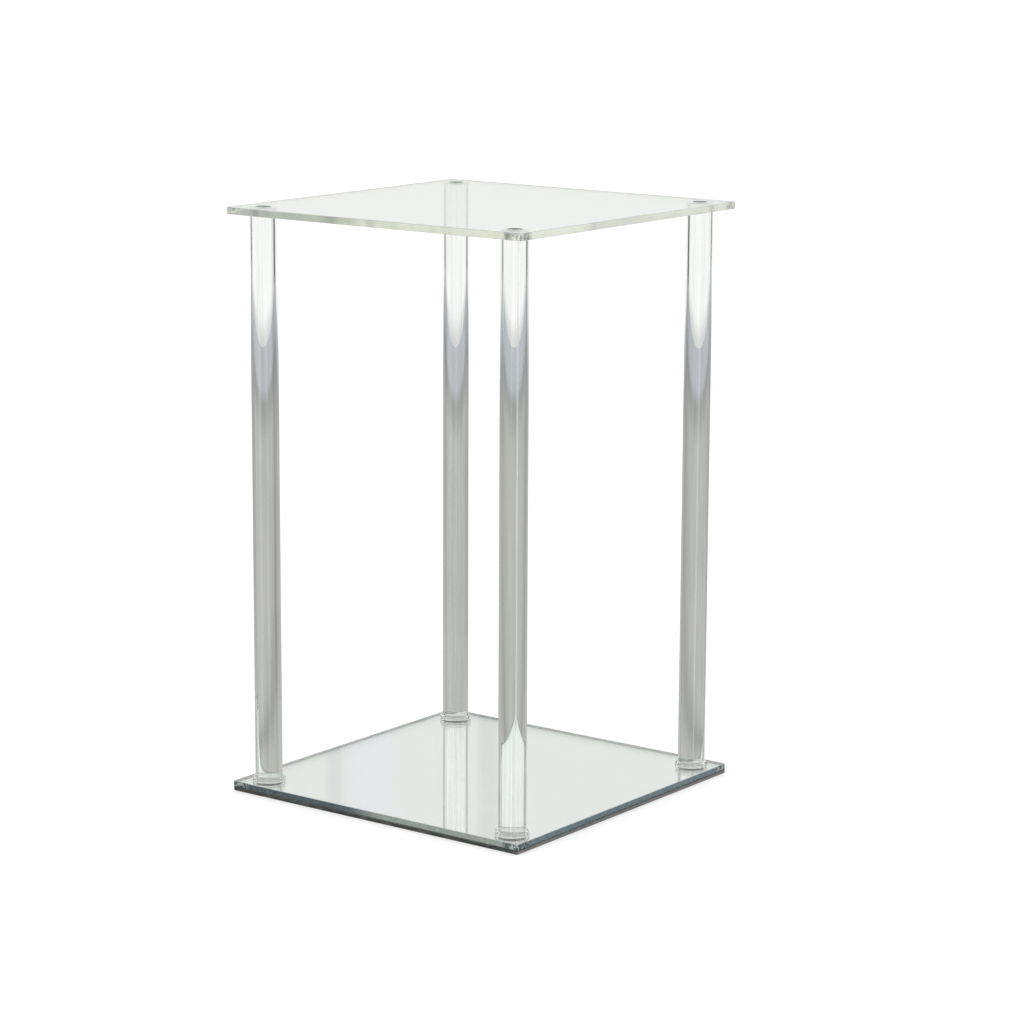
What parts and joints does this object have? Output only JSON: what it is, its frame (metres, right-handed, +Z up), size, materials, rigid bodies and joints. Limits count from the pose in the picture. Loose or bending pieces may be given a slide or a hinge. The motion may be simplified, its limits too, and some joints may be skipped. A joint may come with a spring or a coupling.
{
  "type": "display stand",
  "caption": "Free-standing display stand: a square clear acrylic shelf on clear round corner posts over a square mirrored base.",
  "frame": {"origin": "centre of the base's underside, where the stand rests on a table or floor", "axes": "+Z up along the posts; X and Y along the plates' edges, with -Y the front and +X the right"},
  "size_m": [0.25, 0.25, 0.4121],
  "materials": {
    "clear_acrylic_sheet": "polished",
    "clear_base_sheet": "polished",
    "silvered_film": "polished",
    "dark_backing": "satin",
    "clear_acrylic_rod": "polished",
    "clear_collar_plastic": "polished",
    "clear_screw_plastic": "polished"
  },
  "bodies": {
    "root": {"base_backing": "dark_backing", "base_mirror": "silvered_film", "base_screw_back_left": "clear_screw_plastic", "base_screw_back_right": "clear_screw_plastic", "base_screw_front_left": "clear_screw_plastic", "base_screw_front_right": "clear_screw_plastic", "base_sheet": "clear_base_sheet", "foot_collar_back_left": "clear_collar_plastic", "foot_collar_back_right": "clear_collar_plastic", "foot_collar_front_left": "clear_collar_plastic", "foot_collar_front_right": "clear_collar_plastic", "post_back_left": "clear_acrylic_rod", "post_back_right": "clear_acrylic_rod", "post_front_left": "clear_acrylic_rod", "post_front_right": "clear_acrylic_rod", "top_plate": "clear_acrylic_sheet", "top_screw_back_left": "clear_screw_plastic", "top_screw_back_right": "clear_screw_plastic", "top_screw_front_left": "clear_screw_plastic", "top_screw_front_right": "clear_screw_plastic"}
  },
  "joints": []
}
